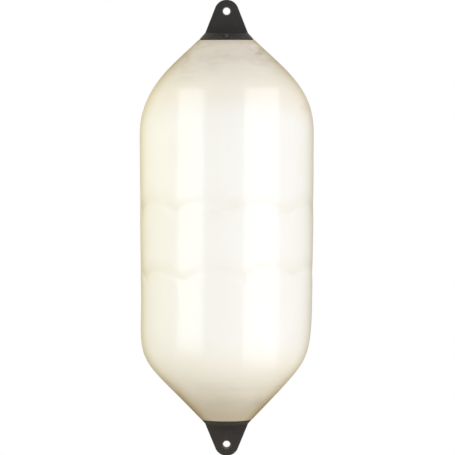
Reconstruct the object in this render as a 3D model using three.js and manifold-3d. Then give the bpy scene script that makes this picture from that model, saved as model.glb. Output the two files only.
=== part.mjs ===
// Inflatable boat fender: a sealed vinyl body with a moulded rope eye at each end and an air valve.
// Millimetres, +Z up. The origin is the centre of the upper rope hole, whose axis runs along Y.
// The fender hangs from that hole, so everything else lies below it.

import * as THREE from 'three';
import { mergeVertices } from 'three/addons/utils/BufferGeometryUtils.js';
import Module from 'manifold-3d';

const wasm = await Module();
wasm.setup();

// Overall
const holeSpacing = 969; // from rope hole to rope hole
const seatGap = 0.3; // between pieces that sit in one another

// Rope eye, alike at both ends. A drop is measured from the rope hole along the fender.
const crownRadius = 27.2; // rounded end of the lug
const crownDrop = 1.6; // of the crown's centre, so that the hole sits a little towards the end
const lugThickness = 30;
const lugEdgeRadius = 3;
const ropeHoleDiameter = 16;
const ropeHoleFlare = 2.2; // rounding of the hole's two mouths
const footFillet = 8; // where the lug's flat faces run out onto the skirt
const skirtTopRadius = 47.5;
const skirtAngle = 42; // degrees from the fender's axis
const landWidth = 6; // of the body's end, between the skirt's edge and the neck
const neckLength = 14;
const ribStep = 5; // how far the rib that keys the moulding into the body stands out from the neck
const ribThickness = 9;
const ribChamfer = 2;

// Body ends. The vinyl laps each skirt and ends in a rounded lip, which leaves part of the skirt bare.
const lipRadius = 0.5;
const upperEnd = {
  skirtTopDrop: 48,
  skirtSpread: 14.3, // how much the bare skirt widens from its top to the lip
  coneAngle: 46.4, // degrees from the fender's axis
  conePull: 91, // how far the cone keeps its slope
  barrelPull: 100, // how far the barrel keeps its line
  shoulderLength: 209.7,
  barrelRadius: 194.4,
};
const lowerEnd = {
  skirtTopDrop: 45.3,
  skirtSpread: 9.3,
  coneAngle: 43.3,
  conePull: 194.5,
  barrelPull: 145,
  shoulderLength: 264,
  barrelRadius: 191,
};

// Air valve, square to the upper skirt at its front
const valveSink = 0.4; // how far the seat's flange lies below the skirt
const flangeDiameter = 11.2;
const flangeThickness = 1.9;
const seatDiameter = 8;
const seatLength = 8; // below the flange
const sealDiameter = 6; // middle of the ring
const sealSection = 1.1;
const plugHeadDiameter = 10.4;
const plugHeadThickness = 2.4;
const plugHeadChamfer = 0.6;
const plugStemDiameter = 4.2;
const plugStemLength = 8;
const plugSlotWidth = 1.8;
const plugSlotDepth = 1.1;
const airwayDiameter = 4.4;

// Blind boss on the lower skirt, where the upper one has its valve
const bossDiameter = 10;
const bossHeight = 0.9;

// Facets
const bodySides = 60;
const shoulderSteps = 12;
const lipSteps = 2;
const skirtSides = 48;
const crownSteps = 12;
const edgeSteps = 2;
const filletSteps = 4;
const holeSides = 24;
const flareSteps = 2;
const smallSides = 20;
const sealSteps = 6;

const past = 1; // how far a cutter, or a part that is joined on, runs past the face that it crosses
const footDepth = 2 * lugEdgeRadius + past; // how far the lug runs down inside the skirt
const radians = THREE.MathUtils.degToRad;

// The closed solid of a three.js geometry, with its shared corners joined.
function toSolid(geometry) {
  geometry.deleteAttribute('normal');
  geometry.deleteAttribute('uv');
  const merged = mergeVertices(geometry, 1e-4);
  const corners = Array.from(merged.index.array);
  const triangles = [];
  for (let i = 0; i < corners.length; i += 3) {
    const [a, b, c] = corners.slice(i, i + 3);
    if (a !== b && b !== c && c !== a) triangles.push(a, b, c);
  }
  return new wasm.Manifold(new wasm.Mesh({
    numProp: 3,
    vertProperties: new Float32Array(merged.attributes.position.array),
    triVerts: new Uint32Array(triangles),
  }));
}

// A named mesh of a closed solid.
function toMesh(name, solid, material) {
  const { vertProperties, triVerts } = solid.getMesh();
  const geometry = new THREE.BufferGeometry();
  geometry.setAttribute('position', new THREE.BufferAttribute(vertProperties, 3));
  geometry.setIndex(new THREE.BufferAttribute(triVerts, 1));
  geometry.computeVertexNormals();
  const mesh = new THREE.Mesh(geometry, material);
  mesh.name = name;
  return mesh;
}

// The geometry of an outline turned about Z: [radius, z] pairs from its lowest end upwards.
function turned(outline, sides) {
  const points = outline.map(([radius, z]) => new THREE.Vector2(radius, z));
  return new THREE.LatheGeometry(points, sides).rotateX(Math.PI / 2);
}

// Points of an arc about a centre, from one angle to another in degrees.
function arc([x, y], radius, from, to, steps) {
  return Array.from({ length: steps + 1 }, (_, i) => {
    const angle = radians(from + ((to - from) * i) / steps);
    return [x + radius * Math.cos(angle), y + radius * Math.sin(angle)];
  });
}

// Where the bare skirt ends and the vinyl starts: its radius, and how far it lies from the rope hole.
function ringRadius({ skirtSpread }) {
  return skirtTopRadius + skirtSpread;
}

function ringDrop({ skirtTopDrop, skirtSpread }) {
  return skirtTopDrop + skirtSpread / Math.tan(radians(skirtAngle));
}

// The root that the body holds: the radii of its neck and of the rib below that.
function neckRadius(end) {
  return ringRadius(end) - landWidth;
}

function ribRadius(end) {
  return neckRadius(end) + ribStep;
}

// The middle of the visible skirt at its front, turned so that local +Z stands square to the skirt.
function onSkirt(object, end) {
  const radius = (skirtTopRadius + ringRadius(end)) / 2;
  const drop = (end.skirtTopDrop + ringDrop(end)) / 2;
  object.position.set(0, -radius, -drop);
  object.rotation.x = Math.PI / 2 - radians(skirtAngle);
  object.updateMatrix();
  return object;
}

// The lug's front view, a crown past the rope hole with straight sides down to the skirt.
function lugFront({ skirtTopDrop }) {
  const crownToSkirt = skirtTopDrop - crownDrop;
  const reach = Math.hypot(skirtTopRadius, crownToSkirt);
  const touch = Math.acos(crownRadius / reach) - Math.atan2(crownToSkirt, skirtTopRadius);
  const foot = -skirtTopDrop - footDepth;
  const outline = new THREE.Shape();
  outline.moveTo(-skirtTopRadius, foot);
  outline.lineTo(skirtTopRadius, foot);
  outline.lineTo(skirtTopRadius, -skirtTopDrop);
  outline.absarc(0, -crownDrop, crownRadius, touch, Math.PI - touch, false);
  outline.lineTo(-skirtTopRadius, -skirtTopDrop);
  return outline;
}

// The lug with its edges rounded. It stands in the XZ plane.
function lug(end) {
  const plate = new THREE.ExtrudeGeometry(lugFront(end), {
    depth: lugThickness - 2 * lugEdgeRadius,
    bevelThickness: lugEdgeRadius,
    bevelSize: lugEdgeRadius,
    bevelOffset: -lugEdgeRadius,
    bevelSegments: edgeSteps,
    curveSegments: crownSteps,
  });
  plate.translate(0, 0, lugEdgeRadius - lugThickness / 2);
  return toSolid(plate.rotateX(Math.PI / 2));
}

// The fillets between the lug's two flat faces and the skirt's top, inside the lug's front view.
function lugFoot(end) {
  const { skirtTopDrop } = end;
  const half = lugThickness / 2;
  const spread = half + footFillet;
  const curve = arc([spread, -skirtTopDrop + footFillet], footFillet, 180, 270, filletSteps);
  const side = new THREE.Shape();
  side.moveTo(-spread, -skirtTopDrop - footDepth);
  side.lineTo(spread, -skirtTopDrop - footDepth);
  curve.toReversed().forEach(([y, z]) => side.lineTo(y, z));
  curve.forEach(([y, z]) => side.lineTo(-y, z));
  const along = new THREE.ExtrudeGeometry(side, { depth: 2 * skirtTopRadius, bevelEnabled: false });
  along.translate(0, 0, -skirtTopRadius).rotateY(Math.PI / 2).rotateX(Math.PI / 2);
  const across = new THREE.ExtrudeGeometry(lugFront(end), { depth: 2 * spread, bevelEnabled: false });
  across.translate(0, 0, -spread).rotateX(Math.PI / 2);
  const within = turned([
    [0, -skirtTopDrop - footDepth - past],
    [skirtTopRadius, -skirtTopDrop - footDepth - past],
    [skirtTopRadius, crownRadius],
    [0, crownRadius],
  ], skirtSides);
  return toSolid(along).intersect(toSolid(across)).intersect(toSolid(within));
}

// The round part of the moulding: its skirt, and the neck and rib that the body holds.
function skirt(end) {
  const ring = -ringDrop(end);
  const rib = ring - neckLength;
  const root = rib - ribThickness;
  return toSolid(turned([
    [0, root],
    [ribRadius(end) - ribChamfer, root],
    [ribRadius(end), root + ribChamfer],
    [ribRadius(end), rib],
    [neckRadius(end), rib],
    [neckRadius(end), ring],
    [ringRadius(end), ring],
    [skirtTopRadius, -end.skirtTopDrop],
    [0, -end.skirtTopDrop],
  ], skirtSides));
}

// What is cut away for the rope: a bore along Y with rounded mouths.
function ropeBore() {
  const radius = ropeHoleDiameter / 2;
  const mouth = radius + ropeHoleFlare;
  const face = lugThickness / 2;
  const flare = arc([mouth, face - ropeHoleFlare], ropeHoleFlare, 180, 90, flareSteps);
  return toSolid(turned([
    [0, -face - past],
    [mouth, -face - past],
    ...flare.toReversed().map(([r, z]) => [r, -z]),
    ...flare,
    [mouth, face + past],
    [0, face + past],
  ], holeSides).rotateX(Math.PI / 2));
}

// One rope eye, without its valve or boss.
function moulding(end) {
  return lug(end).add(lugFoot(end)).add(skirt(end)).subtract(ropeBore());
}

// What is cut away for the valve: its seat's flange and barrel, and the airway down through the root.
function valveBore(end) {
  const top = -valveSink;
  const flange = top - flangeThickness - seatGap;
  const barrel = flange - seatLength;
  const rootDrop = ringDrop(end) + neckLength + ribThickness;
  const airwayEnd = -(rootDrop - end.skirtTopDrop + airwayDiameter) / Math.sin(radians(skirtAngle));
  const bore = turned([
    [0, airwayEnd],
    [airwayDiameter / 2, airwayEnd],
    [airwayDiameter / 2, barrel],
    [seatDiameter / 2 + seatGap, barrel],
    [seatDiameter / 2 + seatGap, flange],
    [flangeDiameter / 2 + seatGap, flange],
    [flangeDiameter / 2 + seatGap, valveSink + past],
    [0, valveSink + past],
  ], smallSides);
  return toSolid(bore.applyMatrix4(onSkirt(new THREE.Object3D(), end).matrix));
}

// The blind boss, a low disc that stands on the skirt.
function boss(end) {
  const disc = turned([
    [0, -past],
    [bossDiameter / 2, -past],
    [bossDiameter / 2, bossHeight],
    [0, bossHeight],
  ], smallSides);
  return toSolid(disc.applyMatrix4(onSkirt(new THREE.Object3D(), end).matrix));
}

// The body's outline down one end, from the neck's land round the lip and along the shoulder:
// [radius, depth] pairs, with the depth measured from the skirt's edge into the body.
function shoulder(end) {
  const { coneAngle, conePull, barrelPull, shoulderLength, barrelRadius } = end;
  const slope = radians(coneAngle);
  const along = [Math.sin(slope), Math.cos(slope)];
  const centre = [ringRadius(end) + lipRadius * along[0], seatGap + lipRadius * along[1]];
  const lip = arc(centre, lipRadius, 270 - coneAngle, 360 - coneAngle, lipSteps);
  const [r, depth] = lip.at(-1);
  const sweep = new THREE.CubicBezierCurve(
    new THREE.Vector2(r, depth),
    new THREE.Vector2(r + conePull * along[0], depth + conePull * along[1]),
    new THREE.Vector2(barrelRadius, shoulderLength - barrelPull),
    new THREE.Vector2(barrelRadius, shoulderLength),
  );
  return [...lip, ...sweep.getPoints(shoulderSteps).slice(1).map((point) => point.toArray())];
}

// The socket that holds one moulding's root, from its floor out to the land under the skirt.
function socket(end) {
  const roof = neckLength - seatGap;
  const floor = neckLength + ribThickness + seatGap;
  const neck = neckRadius(end) + seatGap;
  const rib = ribRadius(end) + seatGap;
  return [
    [0, floor],
    [rib - ribChamfer, floor],
    [rib, floor - ribChamfer],
    [rib, roof],
    [neck, roof],
    [neck, seatGap],
  ];
}

// The sealed body, one solid from the lower socket's floor to the upper one's.
function body() {
  const upperRing = -ringDrop(upperEnd);
  const lowerRing = -holeSpacing + ringDrop(lowerEnd);
  const lower = [...socket(lowerEnd), ...shoulder(lowerEnd)].map(([r, depth]) => [r, lowerRing + depth]);
  const upper = [...socket(upperEnd), ...shoulder(upperEnd)].map(([r, depth]) => [r, upperRing - depth]);
  return toSolid(turned([...lower, ...upper.toReversed()], bodySides));
}

// The valve's seat, a flanged bush with a recess for the seal. Its flange's face is at local z = 0.
function valveSeat() {
  const bore = plugStemDiameter / 2 + seatGap;
  const recess = (sealDiameter + sealSection) / 2 + seatGap;
  return toSolid(turned([
    [bore, -flangeThickness - seatLength],
    [seatDiameter / 2, -flangeThickness - seatLength],
    [seatDiameter / 2, -flangeThickness],
    [flangeDiameter / 2, -flangeThickness],
    [flangeDiameter / 2, 0],
    [recess, 0],
    [recess, -sealSection - seatGap],
    [bore, -sealSection - seatGap],
    [bore, -flangeThickness - seatLength],
  ], smallSides));
}

// The sealing ring, just below the flange's face.
function valveSeal() {
  const ring = new THREE.TorusGeometry(sealDiameter / 2, sealSection / 2, sealSteps, smallSides);
  return toSolid(ring.translate(0, 0, -sealSection / 2));
}

// The screw plug with its slotted head.
function valvePlug() {
  const top = seatGap + plugHeadThickness;
  const screw = turned([
    [0, -plugStemLength],
    [plugStemDiameter / 2, -plugStemLength],
    [plugStemDiameter / 2, seatGap],
    [plugHeadDiameter / 2, seatGap],
    [plugHeadDiameter / 2, top - plugHeadChamfer],
    [plugHeadDiameter / 2 - plugHeadChamfer, top],
    [0, top],
  ], smallSides);
  const slot = new THREE.BoxGeometry(plugHeadDiameter + past, plugSlotWidth, 2 * plugSlotDepth);
  return toSolid(screw).subtract(toSolid(slot.translate(0, 0, top)));
}

const vinyl = new THREE.MeshStandardMaterial({ color: 0xf6f1e2, roughness: 0.25, metalness: 0 });
const blackVinyl = new THREE.MeshStandardMaterial({ color: 0x383634, roughness: 0.5, metalness: 0 });
const nylon = new THREE.MeshStandardMaterial({ color: 0x55524e, roughness: 0.45, metalness: 0 });
const rubber = new THREE.MeshStandardMaterial({ color: 0x1f1e1d, roughness: 0.8, metalness: 0 });

const upperMoulding = moulding(upperEnd).subtract(valveBore(upperEnd));
const lowerMoulding = moulding(lowerEnd).add(boss(lowerEnd));

const lowerEye = toMesh('lower_rope_eye', lowerMoulding, blackVinyl);
lowerEye.position.z = -holeSpacing;
lowerEye.rotation.y = Math.PI;

const valvePieces = new THREE.Group();
valvePieces.position.z = -valveSink;
valvePieces.add(
  toMesh('valve_seat', valveSeat(), blackVinyl),
  toMesh('valve_seal', valveSeal(), rubber),
  toMesh('valve_plug', valvePlug(), nylon),
);
const valve = onSkirt(new THREE.Group(), upperEnd);
valve.add(valvePieces);

const fender = new THREE.Group();
fender.add(
  toMesh('inflated_body', body(), vinyl),
  toMesh('upper_rope_eye', upperMoulding, blackVinyl),
  lowerEye,
  valve,
);

export default fender;
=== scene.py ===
"""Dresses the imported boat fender: a glossy vinyl body, two black rope eyes and an air valve."""

from __future__ import annotations

import logging
import math
from dataclasses import dataclass
from enum import Enum

import bmesh
import bpy
from mathutils import Matrix, Vector, noise


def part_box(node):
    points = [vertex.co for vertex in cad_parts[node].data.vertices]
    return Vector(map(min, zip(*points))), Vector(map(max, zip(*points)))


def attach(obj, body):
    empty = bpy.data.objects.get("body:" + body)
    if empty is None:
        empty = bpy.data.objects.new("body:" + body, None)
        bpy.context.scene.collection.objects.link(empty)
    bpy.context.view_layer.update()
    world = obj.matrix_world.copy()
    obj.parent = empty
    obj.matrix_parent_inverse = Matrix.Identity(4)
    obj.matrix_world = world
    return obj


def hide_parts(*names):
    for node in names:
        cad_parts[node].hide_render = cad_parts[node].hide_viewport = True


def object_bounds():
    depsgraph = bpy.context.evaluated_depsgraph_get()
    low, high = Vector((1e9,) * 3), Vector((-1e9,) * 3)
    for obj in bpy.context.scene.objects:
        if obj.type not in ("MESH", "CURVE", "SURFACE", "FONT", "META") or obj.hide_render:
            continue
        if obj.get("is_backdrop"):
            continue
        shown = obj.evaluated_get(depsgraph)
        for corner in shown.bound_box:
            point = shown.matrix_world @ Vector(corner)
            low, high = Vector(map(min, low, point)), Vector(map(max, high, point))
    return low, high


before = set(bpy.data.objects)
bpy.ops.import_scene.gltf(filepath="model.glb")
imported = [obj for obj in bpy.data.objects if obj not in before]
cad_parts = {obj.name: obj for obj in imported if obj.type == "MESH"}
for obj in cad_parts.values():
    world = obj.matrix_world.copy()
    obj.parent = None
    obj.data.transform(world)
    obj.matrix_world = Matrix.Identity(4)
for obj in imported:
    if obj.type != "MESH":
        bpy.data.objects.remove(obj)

log = logging.getLogger("boat_fender")

MM = 0.001
MERGE_DISTANCE = 0.004 * MM
SMOOTHING = 0.5
SMOOTHING_PASSES = 4
SPECKLE_ROUGHNESS = 0.55

Outline = list[tuple[float, float]]
Colour = tuple[float, float, float]
Socket = bpy.types.NodeSocket
Value = float | tuple[float, ...] | bpy.types.NodeSocket

WHITE: Colour = (1.0, 1.0, 1.0)


class End(Enum):
    """The two ends of the fender."""

    UPPER = "upper"
    LOWER = "lower"


class Cut(Enum):
    """How one closed mesh is worked into another."""

    JOIN = "UNION"
    KEEP_SHARED = "INTERSECT"
    TAKE_AWAY = "DIFFERENCE"


# Mesh work that the sub-assemblies share


def arc(centre: tuple[float, float], radius: float, start: float, end: float, steps: int) -> Outline:
    """Lists points along an arc.

    Args:
        centre: The arc's centre.
        radius: Its radius.
        start: The angle it starts at, in degrees.
        end: The angle it ends at, in degrees.
        steps: How many steps it takes.

    Returns:
        The points, both ends included.
    """
    angles = [math.radians(start + (end - start) * i / steps) for i in range(steps + 1)]
    return [(centre[0] + radius * math.cos(a), centre[1] + radius * math.sin(a)) for a in angles]


def turn(outline: Outline, sides: int) -> bmesh.types.BMesh:
    """Turns an outline about Z into a closed mesh.

    Args:
        outline: Pairs of radius and height, from pole to pole or closed on itself.
        sides: How many steps the full turn takes.

    Returns:
        The mesh, with its seam and poles closed and its faces outwards.
    """
    bm = bmesh.new()
    corners = [bm.verts.new((radius, 0.0, height)) for radius, height in outline]
    for first, second in zip(corners, corners[1:]):
        bm.edges.new((first, second))
    bmesh.ops.spin(
        bm,
        geom=bm.verts[:] + bm.edges[:],
        axis=(0.0, 0.0, 1.0),
        cent=(0.0, 0.0, 0.0),
        angle=2.0 * math.pi,
        steps=sides,
        use_merge=True,
    )
    bmesh.ops.remove_doubles(bm, verts=bm.verts[:], dist=MERGE_DISTANCE)
    bmesh.ops.recalc_face_normals(bm, faces=bm.faces[:])
    return bm


def extrude(outline: Outline, thickness: float) -> bmesh.types.BMesh:
    """Extrudes an outline drawn in the XZ plane along Y, to both sides alike.

    Args:
        outline: Pairs of x and z round the shape.
        thickness: The whole thickness.

    Returns:
        The closed mesh, with its faces outwards.
    """
    bm = bmesh.new()
    face = bm.faces.new([bm.verts.new((x, -thickness / 2, z)) for x, z in outline])
    made = bmesh.ops.extrude_face_region(bm, geom=[face])
    far = [item for item in made["geom"] if isinstance(item, bmesh.types.BMVert)]
    bmesh.ops.translate(bm, verts=far, vec=(0.0, thickness, 0.0))
    bmesh.ops.recalc_face_normals(bm, faces=bm.faces[:])
    return bm


def to_object(name: str, bm: bmesh.types.BMesh, place: Matrix | None = None) -> bpy.types.Object:
    """Makes a smooth-shaded object at the origin from a bmesh.

    Args:
        name: The object's name.
        bm: The mesh, which is freed.
        place: Where the mesh goes in the fender's frame.

    Returns:
        The object, linked to the scene.
    """
    if place is not None:
        bmesh.ops.transform(bm, matrix=place, verts=bm.verts[:])
    mesh = bpy.data.meshes.new(name)
    bm.to_mesh(mesh)
    bm.free()
    mesh.shade_smooth()
    made = bpy.data.objects.new(name, mesh)
    bpy.context.scene.collection.objects.link(made)
    return made


def work_together(
    name: str,
    base: bpy.types.Object,
    cuts: list[tuple[Cut, bpy.types.Object]],
    voxel: float,
) -> bpy.types.Object:
    """Joins and cuts closed meshes, and melts the result into one moulded skin.

    Args:
        name: The name of the result.
        base: The mesh to start from.
        cuts: What is worked into it, in order.
        voxel: The size of the skin's mesh, or 0 to keep the sharp result.

    Returns:
        The result. The meshes that it was made from are removed.
    """
    for cut, tool in cuts:
        step = base.modifiers.new(cut.value.lower(), "BOOLEAN")
        step.operation = cut.value
        step.solver = "EXACT"
        step.object = tool
    if voxel:
        skin = base.modifiers.new("skin", "REMESH")
        skin.mode = "VOXEL"
        skin.voxel_size = voxel
    bpy.context.view_layer.update()
    shown = base.evaluated_get(bpy.context.evaluated_depsgraph_get())
    bm = bmesh.new()
    bm.from_mesh(shown.to_mesh())
    shown.to_mesh_clear()
    for spent in [base, *(tool for _, tool in cuts)]:
        bpy.data.meshes.remove(spent.data)
    if voxel:
        for _ in range(SMOOTHING_PASSES):
            bmesh.ops.smooth_vert(
                bm,
                verts=bm.verts[:],
                factor=SMOOTHING,
                use_axis_x=True,
                use_axis_y=True,
                use_axis_z=True,
            )
    return to_object(name, bm)


def dress(piece: bpy.types.Object, material: bpy.types.Material, slot: str, *nodes: str) -> None:
    """Gives a finished piece its material, and says what it stands for.

    Args:
        piece: The piece.
        material: Its finish.
        slot: The record's material slot; not used.
        nodes: The CAD nodes that it replaces.
    """
    piece.data.materials.clear()
    piece.data.materials.append(material)
    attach(piece, "root")
    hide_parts(*nodes)
    faces = len(piece.data.polygons)
    log.info("%s: %d faces, in place of %s", piece.name, faces, ", ".join(nodes))


# Finishes


@dataclass(frozen=True)
class Nodes:
    """A material's node tree, with short ways to add to it."""

    tree: bpy.types.NodeTree

    def add(self, kind: str, settings: dict[str, object] | None = None, **values: Value) -> bpy.types.Node:
        """Adds a node.

        Args:
            kind: The node's type.
            settings: Its own properties.
            values: Its inputs by name with underscores for spaces: numbers, colours or sockets.

        Returns:
            The node.
        """
        node = self.tree.nodes.new(kind)
        for name, value in (settings or {}).items():
            setattr(node, name, value)
        for name, value in values.items():
            self.put(node.inputs[name.replace("_", " ")], value)
        return node

    def put(self, socket: Socket, value: Value) -> None:
        """Sets an input to a number or colour, or links a socket to it.

        Args:
            socket: The input.
            value: What goes into it.
        """
        if isinstance(value, bpy.types.NodeSocket):
            self.tree.links.new(value, socket)
        elif isinstance(value, tuple) and len(value) == 3 and socket.type == "RGBA":
            socket.default_value = (*value, 1.0)
        else:
            socket.default_value = value

    def feed(self, node: bpy.types.Node, *values: Value) -> bpy.types.Node:
        """Sets a node's first inputs in their own order.

        Args:
            node: The node.
            values: What goes into its inputs.

        Returns:
            The same node.
        """
        for socket, value in zip(node.inputs, values):
            self.put(socket, value)
        return node

    def maths(self, operation: str, first: Value, second: Value = 0.0) -> Socket:
        """Works out one number from two."""
        return self.feed(self.add("ShaderNodeMath", {"operation": operation}), first, second).outputs[0]

    def vector(self, operation: str, *values: Value) -> bpy.types.Node:
        """Works with vectors, given in the order of the node's inputs."""
        return self.feed(self.add("ShaderNodeVectorMath", {"operation": operation}), *values)

    def mix(self, kind: str, share: Value, first: Value, second: Value) -> Socket:
        """Mixes two colours.

        Args:
            kind: The way they are mixed.
            share: How far the second is mixed in, from 0 to 1.
            first: The first colour.
            second: The second colour.

        Returns:
            The mixed colour.
        """
        node = self.add("ShaderNodeMix", {"data_type": "RGBA", "blend_type": kind}, Factor=share)
        colours = [socket for socket in node.inputs if socket.type == "RGBA"]
        for socket, value in zip(colours, (first, second)):
            self.put(socket, value)
        return next(socket for socket in node.outputs if socket.type == "RGBA")

    def blend(self, share: Value, first: Value, second: Value) -> Socket:
        """Blends two colours by a share from 0 to 1."""
        return self.mix("MIX", share, first, second)

    def multiply(self, share: Value, first: Value, second: Value) -> Socket:
        """Multiplies one colour by another, by a share from 0 to 1."""
        return self.mix("MULTIPLY", share, first, second)

    def ramp(self, value: Value, low: float, high: float, start: float = 0.0, end: float = 1.0) -> Socket:
        """Maps a value smoothly from one range to another, and holds it there.

        Args:
            value: The value.
            low: Where its range starts.
            high: Where its range ends, which may be below the start.
            start: The result at low.
            end: The result at high.

        Returns:
            The result.
        """
        node = self.add("ShaderNodeMapRange", {"interpolation_type": "SMOOTHSTEP"})
        return self.feed(node, value, low, high, start, end).outputs["Result"]

    def speckle(self, place: Socket, scale: float, detail: float = 3.0, twist: float = 0.0) -> Socket:
        """Makes a noise pattern on the object's own coordinates.

        Args:
            place: The coordinates.
            scale: How fine the pattern is.
            detail: How many finer patterns lie within it.
            twist: How far it is twisted.

        Returns:
            The pattern, from 0 to 1.
        """
        node = self.add(
            "ShaderNodeTexNoise",
            Vector=place,
            Scale=scale,
            Detail=detail,
            Roughness=SPECKLE_ROUGHNESS,
            Distortion=twist,
        )
        return node.outputs["Fac"]


def new_material(name: str) -> tuple[bpy.types.Material, Nodes, bpy.types.Node]:
    """Starts a material with a principled shader.

    Args:
        name: The material's name.

    Returns:
        The material, its nodes and the shader.
    """
    material = bpy.data.materials.new(name)
    material.use_nodes = True
    nodes = Nodes(material.node_tree)
    shader = next(node for node in material.node_tree.nodes if node.type == "BSDF_PRINCIPLED")
    return material, nodes, shader


@dataclass(frozen=True)
class Fold:
    """A scalloped line round the barrel where the skin is pulled in a little, as a row of shallow swags, with
    painted shade above it.
    """

    height: float
    first: float
    drop: float = 0.02
    sway: float = 0.005
    count: int = 9
    depth: float = 0.9 * MM
    deepest: float = 1.4
    reach_above: float = 0.03
    reach_below: float = 0.01
    shade_spread: float = 1.3
    shade_edge: tuple[float, float] = (-0.004, 0.005)
    shade_on_dome: float = 0.6

    def offset(self, x: float, y: float, z: float) -> float:
        """Says how far the fold moves the skin at a point.

        Args:
            x: How far to the right the point lies.
            y: How far to the back it lies.
            z: How high it lies.

        Returns:
            The distance outwards, which is below zero.
        """
        azimuth = math.atan2(x, -y)
        dome = abs(math.cos(self.count / 2 * (azimuth - math.radians(self.first))))
        swing = self.sway * math.sin(2.0 * azimuth + self.first)
        above = z - self.height + self.drop * (1.0 - dome) - swing
        reach = self.reach_above if above > 0.0 else self.reach_below
        return -self.depth * (self.deepest - dome) * math.exp(-((above / reach) ** 2))

    def shade(self, nodes: Nodes, azimuth: Socket, height: Socket) -> Socket:
        """Works out the painted shade above the fold's line.

        Args:
            nodes: The finish's nodes.
            azimuth: The angle round the body, from its front.
            height: The height.

        Returns:
            The painted shade, from 0 to 1.
        """
        turned = nodes.maths("SUBTRACT", azimuth, math.radians(self.first))
        dome = nodes.maths("ABSOLUTE", nodes.maths("COSINE", nodes.maths("MULTIPLY", turned, self.count / 2)))
        low = nodes.maths("MULTIPLY", nodes.maths("SUBTRACT", 1.0, dome), self.drop)
        swing = nodes.maths("SINE", nodes.maths("ADD", nodes.maths("MULTIPLY", azimuth, 2.0), self.first))
        above = nodes.maths("ADD", nodes.maths("SUBTRACT", height, self.height), low)
        above = nodes.maths("SUBTRACT", above, nodes.maths("MULTIPLY", swing, self.sway))
        fade = nodes.ramp(above, self.reach_above * self.shade_spread, 0.0)
        line = nodes.maths("MULTIPLY", fade, nodes.ramp(above, *self.shade_edge))
        return nodes.maths("MULTIPLY", line, nodes.ramp(dome, 0.0, 1.0, 1.0, self.shade_on_dome))


@dataclass(frozen=True)
class Mark:
    """A soft stain or rub on the front of the body, placed as seen from there."""

    x: float
    z: float
    radius: float
    share: float
    colour: Colour


BROWN = (0.30, 0.20, 0.11)
ORANGE = (0.62, 0.38, 0.16)
GREY = (0.42, 0.40, 0.33)
PALE = (0.88, 0.86, 0.80)

MARKS = (
    Mark(0.072, -0.092, 0.012, 0.30, BROWN),
    Mark(0.060, -0.076, 0.010, 0.35, PALE),
    Mark(0.176, -0.216, 0.014, 0.14, ORANGE),
    Mark(-0.089, -0.114, 0.016, 0.12, ORANGE),
    Mark(-0.030, -0.123, 0.022, 0.14, GREY),
    Mark(-0.042, -0.069, 0.010, 0.16, ORANGE),
    Mark(0.036, -0.069, 0.010, 0.16, ORANGE),
    Mark(-0.006, -0.866, 0.022, 0.13, GREY),
    Mark(0.070, -0.872, 0.018, 0.16, BROWN),
    Mark(-0.105, -0.853, 0.020, 0.20, ORANGE),
    Mark(-0.060, -0.893, 0.014, 0.16, ORANGE),
    Mark(-0.026, -0.442, 0.020, 0.05, GREY),
    Mark(0.020, -0.418, 0.018, 0.05, GREY),
)


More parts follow.
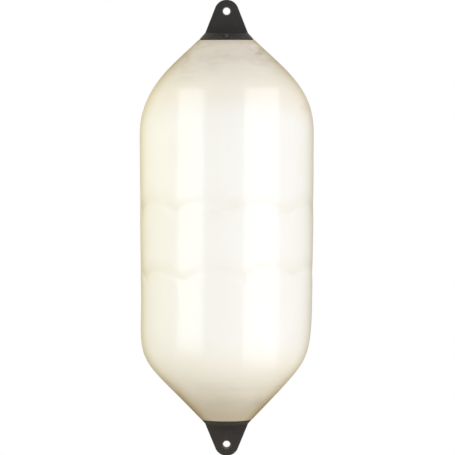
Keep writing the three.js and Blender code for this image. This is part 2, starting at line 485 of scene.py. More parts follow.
@dataclass(frozen=True)
class BodyVinyl:
    """Glossy ivory vinyl: creamier towards the cones with painted warm shade on them, faintly mottled and
    streaked, with painted shade above the folds, by the rings and towards its outline, and less shiny where
    it turns away.
    """

    upper_ring: float
    lower_ring: float
    folds: tuple[Fold, ...]
    ivory: Colour = (0.925, 0.908, 0.862)
    cream: Colour = (0.93, 0.87, 0.75)
    # Painted warm shade of the upper cone; the faint mottled clouds use it too.
    upper_shade_and_mottle: Colour = (0.75, 0.675, 0.55)
    # Painted warm shade of the lower cone.
    lower_cone_shade: Colour = (0.47, 0.375, 0.20)
    # Grime of the cones' streaks, also used for the painted shade next to the rings.
    grime_and_ring_shade: Colour = (0.45, 0.38, 0.27)
    upper_cream: tuple[float, float] = (0.17, 0.09)
    upper_shade_reach: tuple[float, float] = (0.10, 0.0)
    lower_cream: tuple[float, float] = (0.21, 0.10)
    lower_shade_reach: tuple[float, float] = (0.135, 0.0)
    # How far the upper cone's painted shade reaches further down where the skin turns from the view.
    shade_arch: float = 0.045
    # Painted shade where the skin turns from the view, darker still towards the outline.
    rim_shade_start: float = 0.5
    rim_shade: Colour = (0.83, 0.81, 0.74)
    turned_shade: Colour = (0.99, 0.97, 0.92)
    # Painted shade above the folds.
    fold_shade_tint: Colour = (0.925, 0.91, 0.86)
    mould_lines: tuple[float, ...] = (-0.8175, -0.8295)
    wander: float = 0.035
    cloud_scale: float = 7.0
    cloud_twist: float = 0.3
    cloud_edges: tuple[float, float] = (0.35, 0.75)
    cloud_share: float = 0.08
    streak_squash: tuple[float, float, float] = (1.0, 1.0, 3.0)
    streak_scale: float = 14.0
    streak_twist: float = 0.8
    streak_edges: tuple[float, float] = (0.42, 0.72)
    streak_share: float = 0.32
    # Reach and share of the painted shade next to the rings.
    upper_ring_shade: float = 0.014
    lower_ring_shade: float = 0.008
    ring_shade_share: float = 0.5
    fold_shade_facing: tuple[float, float, float, float] = (0.05, 0.5, 0.3, 1.0)
    turned_shade_edges: tuple[float, float] = (0.2, 0.75)
    mark_warp: float = 0.03
    mark_warp_scale: float = 45.0
    mark_spread: float = 1.3
    mark_depth: float = -0.02
    shine_edges: tuple[float, float] = (0.3, 0.8)
    shine: float = 0.75
    coat_on_folds: float = 0.15
    coat_ior: float = 1.8
    coat_roughness: float = 0.12
    roughness: float = 0.3
    ior: float = 1.5
    pore_scale: float = 240.0
    pore_share: float = 0.02
    dimple_scale: float = 14.0
    line_width: float = 0.0022
    line_share: float = 1.2
    relief: float = 0.25
    relief_depth: float = 1.0 * MM

    def material(self) -> bpy.types.Material:
        """Builds the finish.

        Returns:
            The material.
        """
        material, nodes, shader = new_material("body_vinyl")
        place = nodes.add("ShaderNodeTexCoord").outputs["Object"]
        facing = nodes.add("ShaderNodeLayerWeight", Blend=0.5).outputs["Facing"]
        axes = nodes.add("ShaderNodeSeparateXYZ", Vector=place).outputs
        colour = self.along(nodes, place, axes["Z"], facing)
        fold_shade_share = self.shade_above_folds(nodes, axes)
        # Painted shade above each fold, fainter where the skin faces the view.
        share = nodes.maths("MULTIPLY", fold_shade_share, nodes.ramp(facing, *self.fold_shade_facing))
        colour = nodes.multiply(share, colour, self.fold_shade_tint)
        colour = self.marked(nodes, colour, place, axes["Y"])
        # Painted shade: a little darker and warmer where the skin turns from the view, darker still towards
        # the outline.
        colour = nodes.multiply(nodes.ramp(facing, *self.turned_shade_edges), colour, self.turned_shade)
        colour = nodes.multiply(nodes.ramp(facing, self.rim_shade_start, 1.0), colour, self.rim_shade)
        nodes.put(shader.inputs["Base Color"], colour)
        self.gloss(nodes, shader, facing, fold_shade_share)
        self.skin(nodes, shader, place, axes["Z"])
        return material

    def along(self, nodes: Nodes, place: Socket, height: Socket, facing: Socket) -> Socket:
        """Works out the colour along the body: ivory, creamier towards the cones, painted warm shade on the
        cones with grime streaks there, and painted shade beside the eyes' rings.

        Args:
            nodes: The finish's nodes.
            place: The object's coordinates.
            height: The height.
            facing: How far the skin turns away.

        Returns:
            The colour.
        """
        middling = nodes.maths("SUBTRACT", nodes.speckle(place, self.cloud_scale, 1.0), 0.5)
        wandered = nodes.maths("ADD", height, nodes.maths("MULTIPLY", middling, self.wander))
        drop = nodes.maths("SUBTRACT", self.upper_ring, wandered)
        # The painted shade's upper edge drops lower where the skin turns from the view, so it arches up at
        # the front.
        drop = nodes.maths("SUBTRACT", drop, nodes.maths("MULTIPLY", facing, self.shade_arch))
        rise = nodes.maths("SUBTRACT", wandered, self.lower_ring)
        near_lower = nodes.ramp(rise, *self.lower_cream)
        near = nodes.maths("MAXIMUM", nodes.ramp(drop, *self.upper_cream), near_lower)
        # Painted warm shade on both cones, growing towards each ring.
        upper = nodes.ramp(drop, *self.upper_shade_reach)
        lower = nodes.ramp(rise, *self.lower_shade_reach)
        colour = nodes.blend(near, self.ivory, self.cream)
        colour = nodes.blend(upper, colour, self.upper_shade_and_mottle)
        colour = nodes.blend(lower, colour, self.lower_cone_shade)
        squashed = nodes.vector("MULTIPLY", place, self.streak_squash).outputs[0]
        streaks = nodes.speckle(squashed, self.streak_scale, twist=self.streak_twist)
        streaks = nodes.ramp(streaks, *self.streak_edges, 0.0, self.streak_share)
        streaks = nodes.maths("MULTIPLY", streaks, nodes.maths("MAXIMUM", upper, lower))
        colour = nodes.blend(streaks, colour, self.grime_and_ring_shade)
        clouds = nodes.speckle(place, self.cloud_scale, 1.0, self.cloud_twist)
        clouds = nodes.ramp(clouds, *self.cloud_edges, 0.0, self.cloud_share)
        colour = nodes.blend(clouds, colour, self.upper_shade_and_mottle)
        # Painted shade on the vinyl next to each ring, where it meets the black end.
        from_upper = nodes.maths("SUBTRACT", self.upper_ring, height)
        from_lower = nodes.maths("SUBTRACT", height, self.lower_ring)
        upper = nodes.ramp(from_upper, self.upper_ring_shade, 0.0, 0.0, self.ring_shade_share)
        lower = nodes.ramp(from_lower, self.lower_ring_shade, 0.0, 0.0, self.ring_shade_share)
        return nodes.blend(nodes.maths("MAXIMUM", upper, lower), colour, self.grime_and_ring_shade)

    def shade_above_folds(self, nodes: Nodes, axes: bpy.types.bpy_prop_collection) -> Socket:
        """Works out how near the skin lies above a fold, as the share of painted shade there.

        Args:
            nodes: The finish's nodes.
            axes: The object's coordinates, one by one.

        Returns:
            The share of painted shade, from 0 to 1.
        """
        azimuth = nodes.maths("ARCTAN2", axes["X"], nodes.maths("MULTIPLY", axes["Y"], -1.0))
        shares = [fold.shade(nodes, azimuth, axes["Z"]) for fold in self.folds]
        return nodes.maths("MAXIMUM", *shares)

    def marked(self, nodes: Nodes, colour: Socket, place: Socket, depth: Socket) -> Socket:
        """Adds the stains and rubs of the front.

        Args:
            nodes: The finish's nodes.
            colour: The colour below them.
            place: The object's coordinates.
            depth: How far to the back the skin lies.

        Returns:
            The colour with them.
        """
        warp = nodes.add("ShaderNodeTexNoise", Vector=place, Scale=self.mark_warp_scale, Detail=3.0)
        warped = nodes.vector("MULTIPLY_ADD", warp.outputs["Color"], (self.mark_warp,) * 3, place)
        flat = nodes.vector("MULTIPLY", warped.outputs[0], (1.0, 0.0, 1.0)).outputs[0]
        front = nodes.ramp(depth, 0.0, self.mark_depth)
        for mark in MARKS:
            centre = (mark.x + self.mark_warp / 2, 0.0, mark.z + self.mark_warp / 2)
            away = nodes.vector("DISTANCE", flat, centre).outputs["Value"]
            share = nodes.ramp(away, mark.radius * self.mark_spread, 0.0, 0.0, mark.share)
            colour = nodes.blend(nodes.maths("MULTIPLY", share, front), colour, mark.colour)
        return colour

    def gloss(self, nodes: Nodes, shader: bpy.types.Node, facing: Socket, fold_shade_share: Socket) -> None:
        """Sets the shine: a crisp coat over a softer base, both fading where the skin turns away.

        Args:
            nodes: The finish's nodes.
            shader: Its shader.
            facing: How far the skin turns away.
            fold_shade_share: How near the skin lies above a fold, which is also the share of painted shade
                there and thins the coat.
        """
        level = nodes.ramp(facing, *self.shine_edges)
        specular = nodes.ramp(level, 0.0, 1.0, self.shine, 0.0)
        over_folds = nodes.ramp(fold_shade_share, 0.0, 1.0, 1.0, self.coat_on_folds)
        coat = nodes.maths("MULTIPLY", nodes.ramp(level, 0.0, 1.0, 1.0, 0.0), over_folds)
        nodes.put(shader.inputs["Specular IOR Level"], specular)
        nodes.put(shader.inputs["Coat Weight"], coat)
        nodes.put(shader.inputs["Coat IOR"], self.coat_ior)
        nodes.put(shader.inputs["Coat Roughness"], self.coat_roughness)
        nodes.put(shader.inputs["Roughness"], self.roughness)
        nodes.put(shader.inputs["IOR"], self.ior)

    def skin(self, nodes: Nodes, shader: bpy.types.Node, place: Socket, height: Socket) -> None:
        """Adds the skin's fine pores, its soft dimples and the lines that the mould left.

        Args:
            nodes: The finish's nodes.
            shader: Its shader.
            place: The object's coordinates.
            height: The height.
        """
        relief = nodes.maths("MULTIPLY", nodes.speckle(place, self.pore_scale, 2.0), self.pore_share)
        relief = nodes.maths("ADD", relief, nodes.speckle(place, self.dimple_scale, 2.0))
        for line in self.mould_lines:
            near = nodes.maths("ABSOLUTE", nodes.maths("SUBTRACT", height, line))
            relief = nodes.maths("ADD", relief, nodes.ramp(near, self.line_width, 0.0, 0.0, self.line_share))
        bump = nodes.add("ShaderNodeBump", Strength=self.relief, Distance=self.relief_depth, Height=relief)
        nodes.put(shader.inputs["Normal"], bump.outputs["Normal"])
        nodes.put(shader.inputs["Coat Normal"], bump.outputs["Normal"])


@dataclass(frozen=True)
class EyeVinyl:
    """Satin black moulded vinyl with a fine grain, a paler patch round the valve or boss, a painted warm
    reflection of the body by the ring and painted light round the rope hole.
    """

    name: str
    mark: tuple[float, float, float]
    hole: float
    ring: float
    black: Colour
    paler_tone: Colour
    # Painted warm reflection of the ivory body on the black next to the ring.
    ring_reflection: Colour = (0.043, 0.036, 0.023)
    ring_reflection_reach: float = 16.0 * MM
    ring_reflection_share: float = 0.75
    # Painted light round the rope hole's rounded mouth, standing for its lit inner wall.
    wear_and_hole_light: Colour = (0.30, 0.285, 0.265)
    hole_light_reach: tuple[float, float] = (11.0 * MM, 8.2 * MM)
    hole_light_share: float = 0.5
    mark_edges: tuple[float, float] = (8.45 * MM, 3.9 * MM)
    mark_share: float = 0.25
    haze_scale: float = 45.0
    haze_edges: tuple[float, float] = (0.45, 0.8)
    haze_share: float = 0.3
    roughness: tuple[float, float] = (0.54, 0.68)
    roughness_scale: float = 150.0
    roughness_edges: tuple[float, float] = (0.3, 0.7)
    shine: tuple[float, float] = (0.16, 0.03)
    shine_edges: tuple[float, float] = (0.4, 0.9)
    grain_scale: float = 1400.0
    grain: float = 0.25
    grain_depth: float = 0.2 * MM

    def material(self) -> bpy.types.Material:
        """Builds the finish.

        Returns:
            The material.
        """
        material, nodes, shader = new_material(self.name)
        place = nodes.add("ShaderNodeTexCoord").outputs["Object"]
        nodes.put(shader.inputs["Base Color"], self.colour(nodes, place))
        matt = nodes.speckle(place, self.roughness_scale)
        nodes.put(shader.inputs["Roughness"], nodes.ramp(matt, *self.roughness_edges, *self.roughness))
        facing = nodes.add("ShaderNodeLayerWeight", Blend=0.5).outputs["Facing"]
        nodes.put(shader.inputs["Specular IOR Level"], nodes.ramp(facing, *self.shine_edges, *self.shine))
        grain = nodes.speckle(place, self.grain_scale, 2.0)
        bump = nodes.add("ShaderNodeBump", Strength=self.grain, Distance=self.grain_depth, Height=grain)
        nodes.put(shader.inputs["Normal"], bump.outputs["Normal"])
        return material

    def colour(self, nodes: Nodes, place: Socket) -> Socket:
        """Works out the colour: black, paler at the mark, with a painted warm reflection by the ring and
        painted light round the rope hole.

        Args:
            nodes: The finish's nodes.
            place: The object's coordinates.

        Returns:
            The colour.
        """
        # A paler patch round the valve or on the boss, and a faint paler haze.
        away = nodes.vector("DISTANCE", place, self.mark).outputs["Value"]
        rub = nodes.ramp(away, *self.mark_edges, 0.0, self.mark_share)
        haze = nodes.ramp(nodes.speckle(place, self.haze_scale, 4.0), *self.haze_edges, 0.0, self.haze_share)
        colour = nodes.blend(nodes.maths("MAXIMUM", rub, haze), self.black, self.paler_tone)
        axes = nodes.add("ShaderNodeSeparateXYZ", Vector=place).outputs
        # Painted warm reflection of the ivory body on the black next to the ring.
        to_ring = nodes.maths("ABSOLUTE", nodes.maths("SUBTRACT", axes["Z"], self.ring))
        near_ring = nodes.ramp(to_ring, self.ring_reflection_reach, 0.0, 0.0, self.ring_reflection_share)
        colour = nodes.blend(near_ring, colour, self.ring_reflection)
        # Painted light on the rope hole's rounded mouth, standing for its lit inner wall.
        up = nodes.maths("SUBTRACT", axes["Z"], self.hole)
        across = nodes.maths("MULTIPLY", axes["X"], axes["X"])
        to_hole = nodes.maths("SQRT", nodes.maths("ADD", nodes.maths("MULTIPLY", up, up), across))
        return nodes.blend(nodes.ramp(to_hole, *self.hole_light_reach, 0.0, self.hole_light_share), colour, self.wear_and_hole_light)


@dataclass(frozen=True)
class SmallPlastic:
    """A plain moulded finish for the small pieces of the valve."""

    name: str
    colour: Colour
    wear_and_hole_light: Colour
    roughness: float
    wear_scale: float = 500.0
    wear_edges: tuple[float, float] = (0.45, 0.75)
    wear_share: float = 0.5
    wear_roughness: float = 0.12
    grain_scale: float = 2500.0
    grain: float = 0.2
    grain_depth: float = 0.1 * MM

    def material(self) -> bpy.types.Material:
        """Builds the finish.

        Returns:
            The material.
        """
        material, nodes, shader = new_material(self.name)
        place = nodes.add("ShaderNodeTexCoord").outputs["Object"]
        wear = nodes.ramp(nodes.speckle(place, self.wear_scale, 4.0), *self.wear_edges, 0.0, self.wear_share)
        matt = nodes.ramp(wear, 0.0, self.wear_share, self.roughness, self.roughness + self.wear_roughness)
        grain = nodes.speckle(place, self.grain_scale, 2.0)
        bump = nodes.add("ShaderNodeBump", Strength=self.grain, Distance=self.grain_depth, Height=grain)
        nodes.put(shader.inputs["Base Color"], nodes.blend(wear, self.colour, self.wear_and_hole_light))
        nodes.put(shader.inputs["Roughness"], matt)
        nodes.put(shader.inputs["Normal"], bump.outputs["Normal"])
        return material


# Sub-assemblies


@dataclass
class RopeEye:
    """A moulded rope eye: a flat lug, a conical skirt, and the neck and rib that the body holds."""

    end: End
    skirt_drop: float
    skirt_spread: float
    crown_radius: float = 27.2 * MM
    crown_drop: float = 1.6 * MM
    lug_thickness: float = 30.0 * MM
    lug_edge: float = 3.2 * MM
    hole_radius: float = 8.0 * MM
    hole_flare: float = 2.2 * MM
    foot_fillet: float = 8.0 * MM
    skirt_radius: float = 47.5 * MM
    skirt_angle: float = 42.0
    land_width: float = 6.0 * MM
    neck_length: float = 14.0 * MM
    rib_step: float = 5.0 * MM
    rib_thickness: float = 9.0 * MM
    rib_chamfer: float = 2.0 * MM
    boss_radius: float = 5.0 * MM
    boss_height: float = 0.9 * MM
    voxel: float = 0.9 * MM
    past: float = 1.0 * MM
    sides: int = 128
    hole_sides: int = 72
    boss_sides: int = 48
    crown_steps: int = 40
    edge_steps: int = 4
    fillet_steps: int = 10
    flare_steps: int = 6
    black: Colour = (0.029, 0.028, 0.0262)
    paler_tone: Colour = (0.060, 0.055, 0.049)

    @property
    def ring_radius(self) -> float:
        """The radius at which the bare skirt ends and the body's vinyl starts."""
        return self.skirt_radius + self.skirt_spread

    @property
    def ring_drop(self) -> float:
        """How far the bare skirt's edge lies from the rope hole."""
        return self.skirt_drop + self.skirt_spread / math.tan(math.radians(self.skirt_angle))

    @property
    def neck_radius(self) -> float:
        """The radius of the neck, inside the body."""
        return self.ring_radius - self.land_width

    @property
    def root_drop(self) -> float:
        """How far the moulding's inner end lies from the rope hole."""
        return self.ring_drop + self.neck_length + self.rib_thickness

    def on_skirt(self) -> Matrix:
        """Gives the middle of the bare skirt at its front, with local Z square to the skirt.

        Returns:
            The place, in the eye's own frame.
        """
        radius = (self.skirt_radius + self.ring_radius) / 2
        drop = (self.skirt_drop + self.ring_drop) / 2
        tilt = Matrix.Rotation(math.radians(90.0 - self.skirt_angle), 4, "X")
        return Matrix.Translation((0.0, -radius, -drop)) @ tilt

    def place(self) -> Matrix:
        """Gives the eye's place in the fender: the lower one is turned over about Y at its own hole.

        Returns:
            The place.
        """
        if self.end is End.UPPER:
            return Matrix.Identity(4)
        low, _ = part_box("lower_rope_eye")
        hole = low.z + self.crown_radius - self.crown_drop
        return Matrix.Translation((0.0, 0.0, hole)) @ Matrix.Rotation(math.pi, 4, "Y")

    def front_view(self) -> Outline:
        """Draws the lug from the front: a crown about the rope hole and straight sides to the skirt.

        Returns:
            Pairs of x and z round the lug.
        """
        crown_to_skirt = self.skirt_drop - self.crown_drop
        reach = math.hypot(self.skirt_radius, crown_to_skirt)
        touch = math.acos(self.crown_radius / reach) - math.atan2(crown_to_skirt, self.skirt_radius)
        touch = math.degrees(touch)
        foot = -self.skirt_drop - 2 * self.lug_edge - self.past
        return [
            (-self.skirt_radius, foot),
            (self.skirt_radius, foot),
            (self.skirt_radius, -self.skirt_drop),
            *arc((0.0, -self.crown_drop), self.crown_radius, touch, 180.0 - touch, self.crown_steps),
            (-self.skirt_radius, -self.skirt_drop),
        ]

    def lug(self) -> bpy.types.Object:
        """Makes the lug with rounded edges round both faces.

        Returns:
            The lug.
        """
        bm = extrude(self.front_view(), self.lug_thickness)
        rims = [edge for edge in bm.edges if abs(edge.verts[0].co.y - edge.verts[1].co.y) < self.past / 10]
        bmesh.ops.bevel(
            bm,
            geom=rims,
            offset=self.lug_edge,
            offset_type="OFFSET",
            affect="EDGES",
            segments=self.edge_steps,
            profile=0.5,
            material=-1,
        )
        return to_object("lug", bm)

    def foot(self) -> bpy.types.Object:
        """Makes the fillets that lead the lug's flat faces onto the top of the skirt.

        Returns:
            The fillets.
        """
        half = self.lug_thickness / 2
        spread = half + self.foot_fillet
        base = -self.skirt_drop - 2 * self.lug_edge - self.past
        centre = (spread, self.foot_fillet - self.skirt_drop)
        curve = arc(centre, self.foot_fillet, 180.0, 270.0, self.fillet_steps)
        side = [(-spread, base), (spread, base), *reversed(curve), *((-y, z) for y, z in curve)]
        sideways = Matrix.Rotation(math.pi / 2, 4, "Z")
        along = to_object("along", extrude(side, 2 * self.skirt_radius), sideways)
        across = to_object("across", extrude(self.front_view(), 2 * spread))
        cylinder = [
            (0.0, base - self.past),
            (self.skirt_radius, base - self.past),
            (self.skirt_radius, self.crown_radius),
            (0.0, self.crown_radius),
        ]
        within = to_object("within", turn(cylinder, self.sides))
        return work_together("foot", along, [(Cut.KEEP_SHARED, across), (Cut.KEEP_SHARED, within)], 0.0)

    def skirt(self) -> bpy.types.Object:
        """Makes the round part: the skirt, and the neck and rib below it.

        Returns:
            The skirt.
        """
        rib_radius = self.neck_radius + self.rib_step
        rib = -self.root_drop + self.rib_thickness
        outline = [
            (0.0, -self.root_drop),
            (rib_radius - self.rib_chamfer, -self.root_drop),
            (rib_radius, -self.root_drop + self.rib_chamfer),
            (rib_radius, rib),
            (self.neck_radius, rib),
            (self.neck_radius, -self.ring_drop),
            (self.ring_radius, -self.ring_drop),
            (self.skirt_radius, -self.skirt_drop),
            (0.0, -self.skirt_drop),
        ]
        return to_object("skirt", turn(outline, self.sides))

    def rope_bore(self) -> bpy.types.Object:
        """Makes what is cut away for the rope: a bore along Y with rounded mouths.

        Returns:
            What is cut away.
        """
        mouth = self.hole_radius + self.hole_flare
        face = self.lug_thickness / 2
        flare = arc((mouth, face - self.hole_flare), self.hole_flare, 180.0, 90.0, self.flare_steps)
        outline = [
            (0.0, -face - self.past),
            (mouth, -face - self.past),
            *((radius, -height) for radius, height in reversed(flare)),
            *flare,
            (mouth, face + self.past),
            (0.0, face + self.past),
        ]
        return to_object("bore", turn(outline, self.hole_sides), Matrix.Rotation(math.pi / 2, 4, "X"))

    def boss(self) -> bpy.types.Object:
        """Makes the blind boss that the lower skirt has where the upper one has its valve.

        Returns:
            The boss.
        """
        edge = self.boss_height / 2
        outline = [
            (0.0, -self.past),
            (self.boss_radius, -self.past),
            *arc((self.boss_radius - edge, self.boss_height - edge), edge, 0.0, 90.0, self.edge_steps),
            (0.0, self.boss_height),
        ]
        return to_object("boss", turn(outline, self.boss_sides), self.on_skirt())

    def build(self, extra: list[tuple[Cut, bpy.types.Object]]) -> bpy.types.Object:
        """Builds the moulding as one smooth skin.

        Args:
            extra: What else is cut or joined, such as the valve's bore.

        Returns:
            The piece, in its place.
        """
        cuts = [(Cut.JOIN, self.foot()), (Cut.JOIN, self.skirt()), (Cut.TAKE_AWAY, self.rope_bore())]
        piece = work_together(f"{self.end.value}_eye_moulding", self.lug(), [*cuts, *extra], self.voxel)
        place = self.place()
        piece.data.transform(place)
        mark = place @ self.on_skirt().translation
        hole = place.translation.z
        ring = (place @ Vector((0.0, 0.0, -self.ring_drop))).z
        finish = EyeVinyl(f"{self.end.value}_eye_vinyl", tuple(mark), hole, ring, self.black, self.paler_tone)
        dress(piece, finish.material(), "eye_vinyl", f"{self.end.value}_rope_eye")
        return piece


@dataclass
class AirValve:
    """The screw valve in the upper skirt: a flanged seat, a sealing ring and a slotted plug."""

    eye: RopeEye
    sink: float = 0.4 * MM
    gap: float = 0.3 * MM
    flange_radius: float = 5.6 * MM
    flange_thickness: float = 1.9 * MM
    seat_radius: float = 4.0 * MM
    seat_length: float = 8.0 * MM
    seal_radius: float = 3.0 * MM
    seal_section: float = 1.1 * MM
    head_radius: float = 5.2 * MM
    head_thickness: float = 2.4 * MM
    head_chamfer: float = 0.6 * MM
    stem_radius: float = 2.1 * MM
    stem_length: float = 8.0 * MM
    thread_depth: float = 0.25 * MM
    thread_pitch: float = 1.5 * MM
    slot_width: float = 1.8 * MM
    slot_depth: float = 1.1 * MM
    airway_radius: float = 2.2 * MM
    past: float = 1.0 * MM
    sides: int = 64
    flange_edge: float = 0.35 * MM
    edge_steps: int = 4
    chamfer_steps: int = 5
    seal_steps: int = 16
    plug_voxel: float = 0.16 * MM

    def place(self) -> Matrix:
        """Gives the flange's face, square to the skirt."""
        return self.eye.place() @ self.eye.on_skirt() @ Matrix.Translation((0.0, 0.0, -self.sink))

    def bore(self) -> bpy.types.Object:
        """Makes what the valve takes out of the skirt.

        Returns:
            What is cut away.
        """
        flange = -self.sink - self.flange_thickness - self.gap
        barrel = flange - self.seat_length
        airway = -(self.eye.root_drop - self.eye.skirt_drop) * 2
        outline = [
            (0.0, airway),
            (self.airway_radius, airway),
            (self.airway_radius, barrel),
            (self.seat_radius + self.gap, barrel),
            (self.seat_radius + self.gap, flange),
            (self.flange_radius + self.gap, flange),
            (self.flange_radius + self.gap, 2 * self.past),
            (0.0, 2 * self.past),
        ]
        return to_object("valve_bore", turn(outline, self.sides), self.eye.on_skirt())

    def seat(self) -> None:
        """Makes the flanged seat with its recess for the seal."""
        bore = self.stem_radius + self.gap
        recess = self.seal_radius + self.seal_section / 2 + self.gap
        floor = -self.seal_section - self.gap
        base = -self.flange_thickness - self.seat_length
        edge = self.flange_edge
        outline = [
            (bore, base),
            (self.seat_radius, base),
            (self.seat_radius, -self.flange_thickness),
            (self.flange_radius, -self.flange_thickness),
            *arc((self.flange_radius - edge, -edge), edge, 0.0, 90.0, self.edge_steps),
            (recess, 0.0),
            (recess, floor),
            (bore, floor),
            (bore, base),
        ]
        piece = to_object("valve_seat_bush", turn(outline, self.sides), self.place())
        finish = SmallPlastic(
            "seat_nylon",
            colour=(0.025, 0.024, 0.022),
            wear_and_hole_light=(0.05, 0.048, 0.045),
            roughness=0.4,
        )
        dress(piece, finish.material(), "valve_seat_nylon", "valve_seat")

    def seal(self) -> None:
        """Makes the sealing ring."""
        half = self.seal_section / 2
        section = arc((self.seal_radius, -half), half, 0.0, 360.0, self.seal_steps)
        piece = to_object("valve_seal_ring", turn(section, self.sides), self.place())
        finish = SmallPlastic(
            "seal_rubber",
            colour=(0.012, 0.012, 0.012),
            wear_and_hole_light=(0.02, 0.02, 0.02),
            roughness=0.7,
        )
        dress(piece, finish.material(), "seal_rubber", "valve_seal")

    def plug(self) -> None:
        """Makes the screw plug, with a slot across its head and the ridges of its thread."""
        top = self.gap + self.head_thickness
        rim = (self.head_radius - self.head_chamfer, top - self.head_chamfer)
        ridges = []
        turns = int((self.stem_length - 2 * self.past) / self.thread_pitch)
        for i in range(turns):
            low = -self.stem_length + self.past + i * self.thread_pitch
            ridges.append((self.stem_radius - self.thread_depth, low))
            ridges.append((self.stem_radius, low + self.thread_pitch / 2))
        outline = [
            (0.0, -self.stem_length),
            (self.stem_radius - self.thread_depth, -self.stem_length),
            *ridges,
            (self.stem_radius, -self.past),
            (self.stem_radius, self.gap),
            (self.head_radius, self.gap),
            *arc(rim, self.head_chamfer, 0.0, 90.0, self.chamfer_steps),
            (0.0, top),
        ]
        screw = to_object("screw", turn(outline, self.sides))
        bm = bmesh.new()
        size = Matrix.Diagonal((2 * self.head_radius + self.past, self.slot_width, 2 * self.slot_depth, 1.0))
        bmesh.ops.create_cube(bm, size=1.0, matrix=Matrix.Translation((0.0, 0.0, top)) @ size)
        slot = to_object("slot", bm)
        piece = work_together("valve_plug_screw", screw, [(Cut.TAKE_AWAY, slot)], self.plug_voxel)
        piece.data.transform(self.place())
        finish = SmallPlastic(
            "plug_nylon",
            colour=(0.035, 0.033, 0.030),
            wear_and_hole_light=(0.07, 0.066, 0.06),
            roughness=0.45,
        )
        dress(piece, finish.material(), "valve_plug_nylon", "valve_plug")

    def build(self) -> None:
        """Builds the three pieces of the valve."""
        self.seat()
        self.seal()
        self.plug()


@dataclass
class Shoulder:
    """The body's outline from one rope eye's ring to the barrel."""

    eye: RopeEye
    cone_angle: float
    cone_pull: float
    barrel_pull: float
    length: float
    barrel_radius: float
    lip_radius: float = 0.5 * MM
    gap: float = 0.3 * MM
    steps: int = 70
    lip_steps: int = 6

    def outline(self) -> Outline:
        """Draws the lip and the shoulder as pairs of radius and depth from the ring.

        Returns:
            The pairs, from the ring inwards.
        """
        slope = math.radians(self.cone_angle)
        along = Vector((math.sin(slope), math.cos(slope)))
        centre = Vector((self.eye.ring_radius, self.gap)) + self.lip_radius * along
        angles = (270.0 - self.cone_angle, 360.0 - self.cone_angle)
        lip = arc(tuple(centre), self.lip_radius, *angles, self.lip_steps)
        start = Vector(lip[-1])
        pulls = [
            start,
            start + self.cone_pull * along,
            Vector((self.barrel_radius, self.length - self.barrel_pull)),
            Vector((self.barrel_radius, self.length)),
        ]
        return [*lip, *(self.on_curve(pulls, i / self.steps) for i in range(1, self.steps + 1))]

    @staticmethod
    def on_curve(pulls: list[Vector], share: float) -> tuple[float, float]:
        """Gives a point of a cubic curve.

        Args:
            pulls: The curve's ends, with the points that it is pulled towards between them.
            share: How far along it the point lies, from 0 to 1.

        Returns:
            The point.
        """
        rest = 1.0 - share
        weights = (rest**3, 3 * rest * rest * share, 3 * rest * share * share, share**3)
        return tuple(sum((w * p for w, p in zip(weights, pulls)), Vector((0.0, 0.0))))

    def socket(self) -> Outline:
        """Draws the socket that holds the eye's root, from its floor out to the ring.

        Returns:
            Pairs of radius and depth from the ring.
        """
        eye = self.eye
        floor = eye.neck_length + eye.rib_thickness + self.gap
        rib = eye.neck_radius + eye.rib_step + self.gap
        return [
            (0.0, floor),
            (rib - eye.rib_chamfer, floor),
            (rib, floor - eye.rib_chamfer),
            (rib, eye.neck_length - self.gap),
            (eye.neck_radius + self.gap, eye.neck_length - self.gap),
            (eye.neck_radius + self.gap, self.gap),
        ]


@dataclass(frozen=True)
class Lean:
    """A stretch where the body's axis bends to one side."""

    height: float
    reach: float
    move: float


